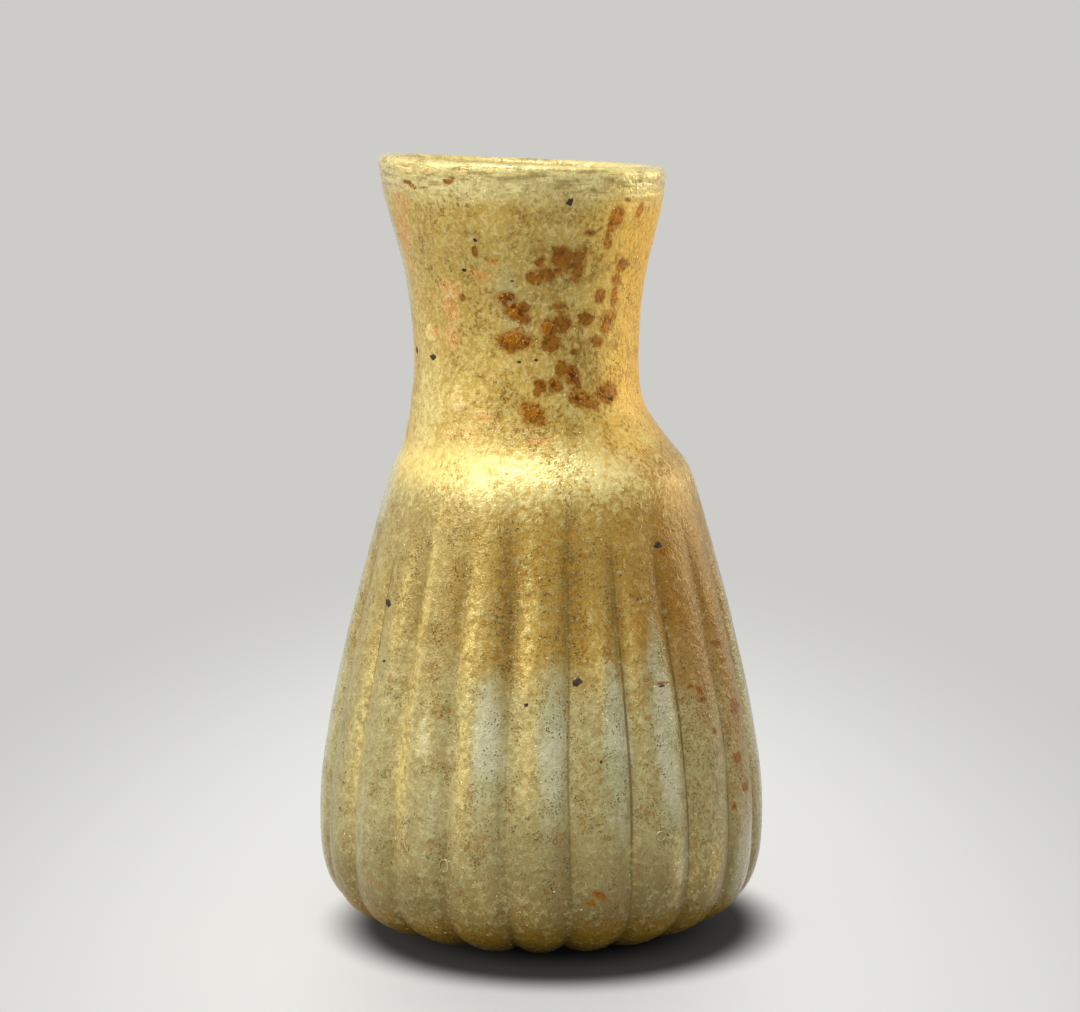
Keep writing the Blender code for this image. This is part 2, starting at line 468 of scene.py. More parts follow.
PALE_CRUST_AND_HIGHLIGHT_ZONES = (
    (-14, 55, 24, 2.8, 1.0), (16, 55.5, 26, 3.0, 1.0), (-46, 55, 18, 3.4, 0.4), (-30, 87.9, 26, 1.3, 1.2),
    # The narrow upright stretches on the ribs, from -57 to 27 degrees, are golden crust that also paints the
    # highlight on the ribs' left flanks.
    (-38.5, 24, 2.6, 10, 1.0), (-37.5, 40, 1.5, 11, 0.9), (-21, 38, 2.6, 8, 1.0), (-20, 24, 2.4, 8, 0.7),
    (-3.5, 39, 2.6, 8, 0.9), (-3, 25, 3.0, 6, 0.55), (16, 35, 2.8, 6, 0.65), (-57, 26, 3.0, 18, 0.6),
    # The small stretches at 42, 49, 36 and 23 degrees, 10 to 13 mm up, paint glints on the lower right ribs.
    (-32, 27, 2.0, 3, 0.8), (-47, 42, 2.0, 10, 0.4), (27, 36, 1.4, 10, 0.4), (42, 11, 2.2, 4, 0.5),
    (49, 10.5, 3, 3, 0.7), (36, 11.5, 2.4, 4, 0.6), (23, 13, 1.6, 4, 0.5), (90, 55, 40, 3, 0.7),
    (180, 55, 50, 3, 0.8), (-110, 55, 30, 3, 0.6), (-60, 62, 10, 6, 0.6), (60, 58, 16, 5, 0.4),
    (-10, 8, 16, 2.5, 0.35),
)
BLUSH_ZONES = (
    (150, 72, 12, 6, 0.6), (-150, 66, 10, 6, 0.5), (100, 74, 10, 5, 0.5), (-70, 80, 8, 8, 0.6),
)
DIRT_ZONES = (
    (34, 25, 34, 28, 1.0), (-55, 38, 6, 10, 0.9), (-70, 42, 7, 10, 0.8), (-24, 12, 12, 7, 0.4),
    (120, 25, 40, 28, 0.8), (-140, 25, 45, 28, 0.8),
)
MURK_ZONES = (
    (3, 13, 14, 6, 0.9), (-22, 8, 24, 4, 0.8), (26, 9, 14, 4, 0.5), (-4, 78, 26, 6, 0.75),
    (14, 66, 14, 8, 0.5), (-58, 7, 14, 4, 0.9), (56, 7, 14, 4, 0.6), (-12, 88, 16, 1.4, 0.5),
    (120, 12, 24, 6, 0.6), (-120, 14, 24, 6, 0.6), (180, 76, 30, 8, 0.5), (180, 12, 30, 6, 0.6),
)
GLASS_ZONES = {
    "clear": CLEAR_AND_EDGE_LIGHT_ZONES,
    "amber": AMBER_AND_SHADE_ZONES,
    "pale": PALE_CRUST_AND_HIGHLIGHT_ZONES,
    "dirt": DIRT_ZONES,
    "murk": MURK_ZONES,
}

# How far a stain reaches through the glass.
STAIN_DEPTH = 1.2 * MM


def zone_strength(mesh, zones):
    """How strongly each point of the mesh lies in these zones, which fade at their edges."""
    angles, heights = polar(mesh)
    strength = np.zeros(len(angles))
    for angle, height, round_reach, up_reach, power in zones:
        turn = (angles - angle + 180) % 360 - 180
        spread = np.exp(-(turn / round_reach) ** 2 - ((heights - height) / up_reach) ** 2)
        strength = np.maximum(strength, power * spread)
    return strength


def spot_strength(mesh, spots):
    """1 in the middle of each spot, 0.5 at its rim and 0 well away, at each point of the mesh.

    Spots are (place, outward normal, half width, half height, turn in radians).
    """
    places = places_of(mesh)
    strength = np.zeros(len(places))
    for centre, normal, half_width, half_height, turn in spots:
        across = Vector((0, 0, 1)).cross(normal).normalized()
        upward = normal.cross(across)
        away = places - np.array(centre)
        x, y, depth = away @ np.array(across), away @ np.array(upward), away @ np.array(normal)
        along, beside = x * math.cos(turn) + y * math.sin(turn), y * math.cos(turn) - x * math.sin(turn)
        share = (along / half_width) ** 2 + (beside / half_height) ** 2 + (depth / STAIN_DEPTH) ** 2
        strength = np.maximum(strength, np.exp2(-share))
    return strength


def keep_on_mesh(mesh, name, strength):
    """Stores a value for each point of the mesh, for the materials and the grains to read."""
    stored = mesh.attributes.new(name, "FLOAT", "POINT")
    stored.data.foreach_set("value", strength.astype(np.float32))


def tone(red, green, blue):
    """A colour given as it looks on a screen, 0 to 255, as the shader wants it."""
    def straight(value):
        value = value / 255
        return value / 12.92 if value <= 0.04045 else ((value + 0.055) / 1.055) ** 2.4
    return (straight(red), straight(green), straight(blue), 1.0)


def new_material(name):
    """A material with its Principled shader. Returns the material, its tree and the shader."""
    material = bpy.data.materials.new(name)
    material.use_nodes = True
    return material, material.node_tree, material.node_tree.nodes["Principled BSDF"]


def blend(share, under, over):
    """A colour over another one, by a share that is a field."""
    tree = share.tree
    mix = node(tree, "ShaderNodeMix", data_type="RGBA")
    feed(tree, mix.inputs["Factor"], share)
    for name, value in (("A", under), ("B", over)):
        socket = [item for item in mix.inputs if item.name == name and item.type == "RGBA"][0]
        feed(tree, socket, value)
    return Field(tree, [item for item in mix.outputs if item.type == "RGBA"][0])


def kept_on_mesh(tree, name):
    """A value that the piece's mesh keeps at each point."""
    return output(tree, "ShaderNodeAttribute", name="Fac", attribute_name=name)


def millimetres(tree):
    """The place on the object, in millimetres."""
    place = output(tree, "ShaderNodeTexCoord", name="Object")
    return scaled(tree, place, 1 / MM)


def bumped(tree, shader, height, distance, strength):
    """Gives a shader relief from a height field, with the distance in metres."""
    bump = node(tree, "ShaderNodeBump", {"Height": height, "Distance": distance, "Strength": strength})
    tree.links.new(bump.outputs["Normal"], shader.inputs["Normal"])
    tree.links.new(bump.outputs["Normal"], shader.inputs["Coat Normal"])


def limited(field, low=0.0, high=1.0):
    """A field kept between two values."""
    return output(field.tree, "ShaderNodeClamp", {"Value": field, "Min": low, "Max": high})


# Tones of the old glass. Some of them partly paint light and shade, as noted at each.
NECK_GREEN = tone(212, 180, 92)
NECK_OLIVE = tone(182, 144, 56)
# A warm tone that partly paints the glow of light coming through the neck's right side.
NECK_PAINTED_GLOW = tone(248, 198, 82)
# The shoulder band: light gold that partly paints the shoulder's highlight, and on the right a darker amber
# that partly paints shade.
SHOULDER_GOLD_AND_HIGHLIGHT = tone(242, 212, 118)
SHOULDER_AMBER_AND_SHADE = tone(180, 130, 50)
LIP_GLASS = tone(230, 210, 134)
LIP_BROWN = tone(134, 106, 46)
BODY_GREEN = tone(178, 160, 100)
BODY_BROWN = tone(178, 146, 68)
# Amber of the body's right edge, darkened there as painted shade.
BODY_AMBER_AND_SHADE = tone(160, 118, 34)
KHAKI = tone(174, 164, 114)
DUN = tone(120, 104, 58)
MURK = tone(110, 96, 48)
SHADE_BROWN = tone(146, 106, 30)
# Brown of the painted shade in the grooves' valleys, also the left-hand tone of the amber stretches.
VALLEY_BROWN = tone(108, 80, 22)
DEEP_GOLD = tone(156, 112, 34)
OLIVE = tone(112, 92, 38)
CLEAR_GREY = tone(230, 228, 188)
GREEN_GLASS = tone(208, 212, 160)
AMBER = tone(154, 94, 12)
BLUSH = tone(222, 152, 82)
CREAM = tone(255, 242, 170)
# Golden crust streaks on the ribs that also paint the highlight on their left flanks.
RIB_STREAK_AND_HIGHLIGHT = tone(248, 216, 122)
FOOT_AMBER = tone(146, 112, 6)
GROOVE_DIRT = tone(86, 76, 24)
RUST = tone(156, 98, 6)
RUST_BRIGHT = tone(200, 124, 22)
RUST_DARK = tone(112, 62, 4)
PIT = tone(70, 46, 10)
# A light tone for the inner wall that paints light into the inside of the lip, which lies in shade.
INSIDE = tone(230, 194, 122)

# Tones of what lies on the glass. Of a pair, the darker tone comes first.
DEPOSIT_DARK = tone(98, 54, 0)
DEPOSIT_AMBER = tone(172, 104, 2)
DEPOSIT_FLECK = tone(236, 182, 104)
CRUST_TAN = tone(216, 178, 96)
CRUST_CREAM = tone(244, 222, 146)
CRUST_BROWN = tone(150, 96, 40)
SPECK_TONES = (tone(30, 22, 14), tone(66, 46, 24))
BUBBLE_TONES = (tone(150, 138, 80), tone(196, 182, 122))
GOLD_GRAIN_TONES = (tone(232, 200, 116), tone(252, 240, 186))
BROWN_GRAIN_TONES = (tone(92, 60, 22), tone(150, 100, 40))

# Tints of the gloss.
GOLD_GLOSS = (1.0, 0.86, 0.55, 1.0)
AMBER_GLOSS = (1.0, 0.74, 0.40, 1.0)

# Features per millimetre of the weathering's noises, from broad to fine.
CLOUDS = 0.18
BLOTCHES = 0.45
STREAKS = 0.9
STREAK_RISE = 0.14
MOTTLE = 1.15
CRISP = 2.4
CRISP_RISE = 0.8
GRAIN = 4.0
LIP_LAYERS = 1.4

# Heights in millimetres between which a tone or a finish comes in. The first may be the upper one.
BODY_BAND = (53.0, 49.0)
SHOULDER_BAND = (52.0, 56.0)
NECK_TONE_BAND = (57.5, 61.0)
NECK_BAND = (58.0, 64.0)
LIP_TONE_BAND = (87.0, 90.5)
LIP_BAND = (85.5, 88.5)
KHAKI_BAND = (44.0, 33.0)
DUN_BAND = (22.0, 9.0)
FOOT_BAND = (8.5, 4.0)
# Heights of the painted shade in the grooves' valleys: an upper band set by the next two, and a lower one.
VALLEY_TOP = (53.0, 48.0)
VALLEY_FOOT = (32.0, 42.0)
LOW_VALLEY_SHADE = (22.0, 12.0)
CALM_BAND = (50.0, 53.0)
RIM_FOOT = (85.6, 87.2)
RIM_TOP = (90.6, 89.8)
RIM_MIDDLE = 88.5
RIM_SLOPE = 0.036

# Places from left to right, in millimetres, between which the right-hand tone or finish comes in.
NECK_OLIVE_SIDE = (-4.0, 8.0)
# From here the neck's right side takes its partly painted glow.
NECK_PAINTED_GLOW_SIDE = (6.0, 14.0)
BODY_BROWN_SIDE = (-14.0, 4.0)
# From here the body's right edge takes its amber, partly painted shade.
BODY_AMBER_AND_SHADE_SIDE = (9.0, 18.0)
# From here the shoulder's right takes its darker amber, partly painted shade.
SHOULDER_AMBER_AND_SHADE_SIDE = (6.0, 16.0)
AMBER_SIDE = (4.0, 9.0)
LIP_CREAM_SIDE = (-14.0, 6.0)
CALM_SIDE = (6.0, 11.0)
RUST_BRIGHT_SIDE = (5.0, 8.5)
DULL_SIDE = (3.0, 9.0)


def weathered_glass():
    """Old glass: a golden crust over greenish glass, clearer where the crust has worn off. Some tones are
    painted light and shade: highlights and glints on the ribs and shoulder, a glow on the neck, light through
    the edges and on the inner wall, and shade in the grooves and on the right.
    """
    material, tree, shader = new_material("weathered_glass")
    place = millimetres(tree)
    x, y, height = parts_of(tree, place)
    wander = kept_on_mesh(tree, "wander")
    ribbed = kept_on_mesh(tree, "ribbed")
    clear = kept_on_mesh(tree, "clear")
    amber = kept_on_mesh(tree, "amber")
    pale = kept_on_mesh(tree, "pale")
    blush = kept_on_mesh(tree, "blush")
    rust = kept_on_mesh(tree, "rust")
    outside = kept_on_mesh(tree, "outside")
    murk = kept_on_mesh(tree, "murk")
    grime = kept_on_mesh(tree, "dirt")

    clouds = noise(tree, place, CLOUDS, detail=1.0, roughness=0.6)
    blotches = noise(tree, place, BLOTCHES, detail=3.0, roughness=0.6)
    streaks = noise(tree, vector(tree, x, y, height * STREAK_RISE), STREAKS, detail=1.0, roughness=0.6)
    mottle = noise(tree, place, MOTTLE, detail=3.0, roughness=0.66)
    grain = noise(tree, place, GRAIN, detail=2.0, roughness=0.6)
    crisp = noise(tree, vector(tree, x, y, height * CRISP_RISE), CRISP, detail=3.0, roughness=0.62)
    speckle = (mottle - 0.5) * 1.4 + (grain - 0.5) * 0.35
    drawn = (streaks - 0.5) * 1.2

    angle = combine(tree, "ARCTAN2", x, y * -1.0)
    phase = angle * (RIB_COUNT / math.tau) + wander
    away = combine(tree, "ABSOLUTE", phase - combine(tree, "ROUND", phase)) * 2
    on_body = ramp(height, *BODY_BAND)
    on_neck = ramp(height, *NECK_BAND)
    lip = ramp(height, *LIP_BAND)
    worn = ramp(clear * 1.15 + speckle * 0.35 + drawn * 0.6, 0.24, 1.00)

    # Ground tones, from the foot up and from left to right.
    brown_patches = ramp(blotches + speckle * 0.25, 0.44, 0.62)
    neck = blend(ramp(x + blotches * 6.0, *NECK_OLIVE_SIDE) * brown_patches, NECK_GREEN, NECK_OLIVE)
    # The neck's right side takes a warm tone that partly paints the glow of light coming through it.
    neck = blend(ramp(x + clouds * 4.0, *NECK_PAINTED_GLOW_SIDE), neck, NECK_PAINTED_GLOW)
    body = blend(ramp(x + clouds * 8.0, *BODY_BROWN_SIDE), BODY_GREEN, BODY_BROWN)
    # The body's right edge turns amber and darker, partly as painted shade.
    body = blend(ramp(x + clouds * 6.0, *BODY_AMBER_AND_SHADE_SIDE), body, BODY_AMBER_AND_SHADE)
    # The shoulder is light gold on the left, partly a painted highlight, and darker amber on the right,
    # partly painted shade.
    shoulder = blend(ramp(x + clouds * 6.0, *SHOULDER_AMBER_AND_SHADE_SIDE), SHOULDER_GOLD_AND_HIGHLIGHT, SHOULDER_AMBER_AND_SHADE)
    colour = blend(ramp(height, *SHOULDER_BAND), body, shoulder)
    colour = blend(ramp(height + clouds * 3.0, *NECK_TONE_BAND), colour, neck)
    colour = blend(ramp(height + clouds * 10.0, *KHAKI_BAND), colour, KHAKI)
    colour = blend(ramp(height + clouds * 10.0, *DUN_BAND), colour, DUN)
    colour = blend(ramp(height + clouds * 5.0 + speckle, *LIP_TONE_BAND), colour, LIP_GLASS)

    # Deep and bright crust, then worn, amber, murky and blushing glass, and the amber foot. On the ribs the
    # bright crust also paints highlights and glints, at the outline the worn glass paints light seen through
    # the edges, and on the right shoulder the amber is partly painted shade.
    deep = limited(ramp((blotches - 0.5) * 1.6 + speckle * 0.7 - pale * 0.5, 0.02, 0.42) * 0.55)
    colour = blend(deep, colour, blend(on_body, DEEP_GOLD, OLIVE))
    bright = limited(pale * ramp(speckle + drawn * 0.5, -0.40, 0.20) * 1.1)
    # On the body the bright crust is golden, and on the ribs it also paints the highlight on their left
    # flanks and glints low on the right.
    colour = blend(bright * (0.9 - on_body * 0.15), colour, blend(on_body, CREAM, RIB_STREAK_AND_HIGHLIGHT))
    # Worn glass takes clear grey and green tones. On the left and right outline this also paints the light
    # seen through the glass's edges.
    colour = blend(worn * 0.85, colour, blend(ramp(clouds, 0.45, 0.62), CLEAR_GREY, GREEN_GLASS))
    warm = limited(amber * ramp(speckle + drawn * 0.4, -0.30, 0.15))
    colour = blend(warm * 0.8, colour, blend(ramp(x, *AMBER_SIDE), VALLEY_BROWN, AMBER))
    colour = blend(limited(murk * ramp(speckle, -0.45, 0.30)) * 0.75, colour, MURK)
    colour = blend(ramp(blush + speckle * 0.6, 0.35, 0.70) * 0.65, colour, BLUSH)
    foot = ramp(height + speckle * 1.5 + clouds * 2.0, *FOOT_BAND)
    colour = blend(foot * 0.95, colour, FOOT_AMBER)

    # Layers round the lip, which slants.
    rim = height + x * RIM_SLOPE + (mottle - 0.5) * 1.6
    round_lip = vector(tree, x * 0.20, y * 0.20, height * 1.2)
    layers = noise(tree, round_lip, LIP_LAYERS, detail=2.0, roughness=0.62)
    on_lip = ramp(rim, *RIM_FOOT) * ramp(rim, *RIM_TOP)
    creamy = ramp(layers + (rim - RIM_MIDDLE) * 0.05, 0.49, 0.58) * on_lip
    colour = blend(ramp(layers, 0.47, 0.37) * on_lip * 0.50, colour, LIP_BROWN)
    colour = blend(creamy * (ramp(x, *LIP_CREAM_SIDE) * 0.25 + 0.60), colour, CREAM)

    # Painted shade in the grooves' valleys, upper and lower, and dirt along the groove lines.
    line = ramp(away + speckle * 0.03, 0.935, 0.985) * ribbed
    valley = ramp(away + speckle * 0.3, 0.40, 1.0) * ribbed
    shaded = valley * ramp(height, *VALLEY_TOP) * ramp(height, *VALLEY_FOOT)
    colour = blend(shaded * 0.42, colour, VALLEY_BROWN)
    # Lower down, the valleys take a murky brown as painted shade.
    colour = blend(valley * ramp(height, *LOW_VALLEY_SHADE) * 0.34, colour, MURK)
    dirt = limited(line * ramp(speckle, -0.8, -0.2) * grime * 0.9)
    colour = blend(dirt, colour, GROOVE_DIRT)

    # Dark pits, pale wrinkles and flecks.
    clusters = ramp(blotches + (mottle - 0.5) * 1.2, 0.42, 0.66)
    pit = ramp(grain, 0.55, 0.64) * (clusters * 0.9 + 0.20) * (amber * 0.9 + on_body * 0.60 + 0.40)
    colour = blend(limited(pit * (1 - bright * 0.6)), colour, PIT)
    wrinkle = ramp(combine(tree, "ABSOLUTE", crisp - 0.5), 0.028, 0.008) * ramp(mottle, 0.50, 0.60)
    wrinkle = limited(wrinkle * (pale * 0.8 + blush * 0.6 + 0.42 - on_body * 0.20))
    colour = blend(wrinkle, colour, CREAM)
    hold = (1 - worn * 0.55 - blush * 0.3) * (0.85 - ramp(height, *CALM_BAND) * 0.20)
    colour = blend(limited(ramp(speckle, 0.04, -0.24) * hold * 0.46), colour, SHADE_BROWN)
    colour = blend(limited(ramp(speckle, 0.02, 0.28) * hold * (0.36 - on_body * 0.16)), colour, CREAM)
    crowd = ramp(clouds + (blotches - 0.5) * 1.1 + x * 0.006, 0.42, 0.62)
    sharp = (0.55 + on_neck * 0.30) * (1 - worn * 0.5) * (1 - on_lip * 0.5)
    calm = (ramp(x, *CALM_SIDE) * 0.35 + 0.3) * on_neck
    dark_share = (crowd * 1.1 + amber * 1.1 + 0.12) * sharp * (1 - calm)
    pale_share = (0.9 - crowd * 0.4 + pale * 0.6 - on_body * 0.5) * (1 - amber * 0.7) * sharp
    colour = blend(limited(ramp(crisp, 0.48, 0.38) * dark_share), colour, SHADE_BROWN)
    colour = blend(limited(ramp(crisp, 0.53, 0.62) * pale_share * 0.46), colour, CREAM)
    # The inner wall takes a lighter tone, painted light where the inside lies in shade.
    colour = blend(ramp(outside, 0.59, 0.51) * 0.8, colour, INSIDE)

    # Iron stains with an amber halo.
    halo = ramp(rust + speckle * 0.35, 0.20, 0.55)
    colour = blend(halo * 0.55, colour, AMBER)
    stained = ramp(rust + (blotches - 0.5) * 0.9 + (mottle - 0.5) * 1.7, 0.42, 0.60)
    core = ramp((crisp - 0.5) * 1.2 + (mottle - 0.5) * 0.8 + rust * 0.2, -0.04, 0.26)
    rusts = blend(core, RUST_DARK, blend(ramp(x, *RUST_BRIGHT_SIDE) * on_neck, RUST, RUST_BRIGHT))
    colour = blend(stained * 0.92, colour, rusts)
    tree.links.new(colour.socket, shader.inputs["Base Color"])

    # Finish: what lets light through, gloss, a little metal lustre, and relief.
    crusted = limited(bright * 0.7 + stained * 0.9 + warm * 0.3 + wrinkle)
    through = limited((worn * 0.24 + lip * 0.10) * (1 - crusted))
    feed(tree, shader.inputs["Transmission Weight"], through)
    dull = ramp(x, *DULL_SIDE) * on_neck * (1 - lip)
    rough = limited(0.36 + dull * 0.16 - worn * 0.12 - lip * 0.14 + speckle * 0.3, 0.12, 0.9)
    feed(tree, shader.inputs["Roughness"], rough)
    metal = limited((wrinkle * 0.3 + bright * 0.2 + 0.08) * (1 - worn) * (1 - stained) * (1 - dirt))
    feed(tree, shader.inputs["Metallic"], metal)
    coat = limited((worn * 0.5 + lip * 0.3 + 0.20) * (1 - stained) * (1 - dull * 0.8))
    feed(tree, shader.inputs["Coat Weight"], coat)
    shader.inputs["Coat Roughness"].default_value = 0.13
    shader.inputs["IOR"].default_value = 1.5
    shader.inputs["Specular IOR Level"].default_value = 0.34
    shader.inputs["Specular Tint"].default_value = GOLD_GLOSS
    relief = grain * 0.35 + mottle * 1.4
    bumped(tree, shader, relief, 0.15 * MM, 1.0)
    return material


def iron_deposit():
    """Brown iron deposit: dark and amber patches with paler flecks between them."""
    material, tree, shader = new_material("iron_deposit")
    place = millimetres(tree)
    patches = noise(tree, place, 1.1, detail=4.0, roughness=0.65)
    grain = noise(tree, place, 5.0, detail=3.0, roughness=0.6)
    colour = blend(ramp(patches, 0.38, 0.60), DEPOSIT_DARK, DEPOSIT_AMBER)
    fleck = ramp(combine(tree, "ABSOLUTE", patches - 0.5), 0.035, 0.010) * ramp(grain, 0.46, 0.56)
    colour = blend(fleck * 0.7, colour, DEPOSIT_FLECK)
    tree.links.new(colour.socket, shader.inputs["Base Color"])
    feed(tree, shader.inputs["Roughness"], limited(0.40 + (grain - 0.5) * 0.5, 0.2, 0.8))
    shader.inputs["Specular IOR Level"].default_value = 0.3
    shader.inputs["Specular Tint"].default_value = AMBER_GLOSS
    bumped(tree, shader, patches + grain * 0.6, 0.15 * MM, 0.9)
    return material


def pale_crust_and_glint():
    """Cream weathering crust that has lifted in thin flakes, brown where it is pitted. One of its flakes is a
    painted glint on the lip.
    """
    material, tree, shader = new_material("pale_crust_and_glint")
    place = millimetres(tree)
    patches = noise(tree, place, 1.4, detail=4.0, roughness=0.6)
    grain = noise(tree, place, 5.5, detail=3.0, roughness=0.6)
    colour = blend(ramp(patches, 0.36, 0.64), CRUST_TAN, CRUST_CREAM)
    colour = blend(ramp(grain, 0.40, 0.28) * 0.5, colour, CRUST_BROWN)
    tree.links.new(colour.socket, shader.inputs["Base Color"])
    feed(tree, shader.inputs["Roughness"], limited(0.45 + (grain - 0.5) * 0.5, 0.2, 0.85))
    bumped(tree, shader, patches + grain * 0.6, 0.12 * MM, 0.9)
    return material


def grit(name, tones, roughness):
    """Grit or grains in two near tones."""
    material, tree, shader = new_material(name)
    place = millimetres(tree)
    colour = blend(ramp(noise(tree, place, 2.2, detail=2.0, roughness=0.6), 0.38, 0.62), *tones)
    tree.links.new(colour.socket, shader.inputs["Base Color"])
    shader.inputs["Roughness"].default_value = roughness
    bumped(tree, shader, noise(tree, place, 8.0, detail=2.0, roughness=0.6), 0.05 * MM, 0.6)
    return material


def photo_ray(across, down):
    """The direction from the camera through a pixel of the photograph."""
    forward = (CAMERA_AIM - CAMERA_PLACE).normalized()
    right = forward.cross(Vector((0, 0, 1))).normalized()
    up = right.cross(forward)
    sight = forward * FOCAL_PIXELS + right * (across - PHOTO_WIDTH / 2) + up * (PHOTO_HEIGHT / 2 - down)
    return sight.normalized()


def on_glass(skin, across, down):
    """Where the sight line of a photograph's pixel meets the glass: (place, outward normal, how it faces)."""
    sight = photo_ray(across, down)
    place, normal, _, _ = skin.ray_cast(CAMERA_PLACE, sight)
    return place, normal, max(LEAST_FACING, -normal.dot(sight))


# Things seen on the glass, by where and how large they are in the photograph's pixels, each as
# (across, down, width, height, turn in degrees).
IRON_FLAKES = {
    "drop_by_the_lip": (617, 216, 11, 20, -22), "drop_foot": (611, 227, 6, 10, 0),
    "small_drop": (590, 233, 11, 7, 0), "long_drop": (608, 245, 7, 9, 0), "drop_thread": (607, 236, 3, 12, 0),
    "upper_left_block": (562, 259, 17, 22, 0), "upper_right_block": (578, 264, 15, 28, -8),
    "upper_joint": (569, 266, 16, 12, 0), "upper_tail": (545, 274, 30, 13, 12),
    "tail_end": (534, 277, 14, 14, 0), "dark_head": (506, 297, 18, 12, 0),
    "dark_heart": (516, 311, 23, 18, -20), "heart_spur": (525, 318, 11, 9, 0),
    "pale_flecked": (516, 340, 30, 19, -8), "flecked_foot": (511, 347, 14, 13, 0),
    "middle_left": (549, 328, 16, 16, -30), "middle_right": (563, 323, 16, 18, -30),
    "middle_low": (552, 343, 17, 14, 0), "right_grey": (586, 319, 13, 14, -30),
    "right_branch": (607, 321, 13, 20, 30), "branch_tip": (613, 314, 8, 8, 0),
    "right_foot": (597, 341, 11, 9, 0),
    "right_streak_high": (622, 265, 8, 13, 0), "right_streak_middle": (617, 280, 8, 12, 0),
    "right_streak_low": (614, 298, 6, 20, 0), "hook_high": (561, 369, 10, 18, 0),
    "hook_low": (556, 385, 12, 15, 35), "hook_left": (541, 386, 11, 11, 0),
    "hook_left_foot": (537, 393, 8, 7, 0), "hook_ring": (571, 375, 14, 17, 0),
    "ring_foot": (578, 384, 6, 8, 0), "hook_dot": (546, 393, 4, 3, 0), "broad_flake": (533, 412, 25, 17, -30),
    "round_flake": (584, 400, 25, 15, -20), "right_flake": (607, 393, 20, 17, 0),
}
# The flakes that stand up from the glass. The others are stains in it.
THICK_FLAKES = ("dark_head", "dark_heart", "pale_flecked", "middle_left", "hook_ring", "hook_low",
                "broad_flake", "round_flake", "right_flake")
CRUST_AND_GLINT_FLAKES = {
    "lip_crust_left": (404, 170, 18, 9, -4),
    "lip_crust_middle": (428, 171, 15, 7, 4),
    "lip_crust_right": (462, 173, 18, 5, 4),
    "lip_crust_end": (490, 171, 16, 5, 3),
    # This pale flake paints the glint on the lip's right, not crust.
    "lip_painted_glint": (618, 174, 15, 4, 0),
    "pale_hook": (430, 334, 9, 24, 18),
    "pale_oval": (457, 402, 17, 26, 0),
    "oval_tip": (458, 389, 9, 9, 0),
    "foot_scale": (449, 433, 9, 6, 0),
}
DARK_SPECKS = {
    "black_triangle": (577, 682, 10, 9, 30),
    "body_speck": (658, 545, 9, 7, 0),
    "left_bubble": (388, 603, 7, 8, 0),
    "lip_speck": (570, 202, 7, 8, 30),
    "neck_speck_left": (464, 270, 5, 4, 0),
    "neck_speck_high": (475, 240, 4, 4, 0),
    "neck_speck_middle": (512, 281, 5, 2, 0),
    "neck_speck_pair": (519, 362, 5, 3, 0),
    "neck_speck_pair_right": (536, 360, 4, 3, 0),
    "neck_speck_low": (433, 357, 6, 7, 0),
    "neck_speck_edge": (417, 350, 3, 8, 0),
    "rib_speck_left": (384, 661, 4, 3, 0),
    "rib_speck_middle": (526, 705, 4, 5, 0),
    "rib_line": (662, 686, 8, 2, 0),
    "low_speck": (601, 762, 3, 4, 0),
}
BLUSH_SPOTS = {
    "pink_streak_high": (449, 288, 18, 20, 0), "pink_streak_middle": (450, 308, 16, 26, 0),
    "pink_streak_low": (452, 336, 14, 26, 0), "pink_beside_hook": (436, 334, 10, 16, 0),
    "faint_scale": (478, 274, 24, 9, -15),
    "orange_glow": (484, 417, 14, 11, 0), "orange_glow_low": (468, 431, 11, 9, 0),
    "under_lip": (400, 200, 16, 20, -20), "left_edge": (402, 228, 12, 34, -12),
    "upper_scale": (492, 262, 12, 7, 0),
    "shoulder_scale": (449, 433, 12, 8, 0), "neck_foot_scale": (540, 440, 26, 7, 0),
}
RUST_SPOTS = {
    "right_large": (735, 706, 9, 13, 0), "right_high": (716, 644, 8, 8, 0), "right_two": (723, 660, 7, 7, 0),
    "right_three": (699, 690, 6, 7, 0), "right_four": (715, 732, 5, 6, 0), "right_five": (737, 757, 7, 9, 0),
    "right_six": (746, 786, 6, 9, 0), "right_seven": (734, 806, 5, 8, 0), "right_eight": (690, 686, 6, 6, 0),
    "rib_cluster": (600, 896, 15, 7, -30), "rib_cluster_left": (592, 903, 8, 6, 0),
    "shoulder_smear": (664, 552, 8, 6, 0), "body_smear": (662, 684, 16, 3, 0),
    "right_smear": (703, 700, 9, 5, 0),
    "lip_line_left": (410, 184, 12, 4, -20), "lip_line": (428, 186, 18, 3, 5),
    "lip_line_right": (449, 181, 13, 5, 25), "neck_dot": (475, 252, 5, 8, 0),
    "neck_stain": (462, 298, 6, 6, 0),
    "right_edge_stain": (640, 210, 5, 14, -20), "right_edge_low": (628, 200, 6, 4, 0),
    "neck_low_stain": (574, 352, 7, 6, 0), "upper_neck_smear": (540, 262, 10, 6, 20),
    "neck_middle_smear": (560, 305, 12, 8, 0), "right_pale_smear": (600, 296, 9, 14, 0),
}
# Bubbles, each as (across, down, radius).
BUBBLE_RINGS = {
    "large": (678, 746, 5.0),
    "small": (625, 757, 2.6),
    "low": (661, 836, 4.4),
    "yellow": (445, 866, 6.0),
}

# Shapes of the flakes: the waves of their outline, their lumps, how deep their rim is sunk in the glass, and
# the rings and spokes of their mesh.
OUTLINE_WAVES = (2, 3, 4, 5, 7, 9, 11)
OUTLINE_SWING = 0.6
LUMPINESS = 0.45
SUNK_RIM = 0.06 * MM
FLAKE_RINGS = 5
FLAKE_SPOKES = 22

# A thing narrower than this many pixels of the photograph gets a thinner flake.
SLIM_FLAKE = 14

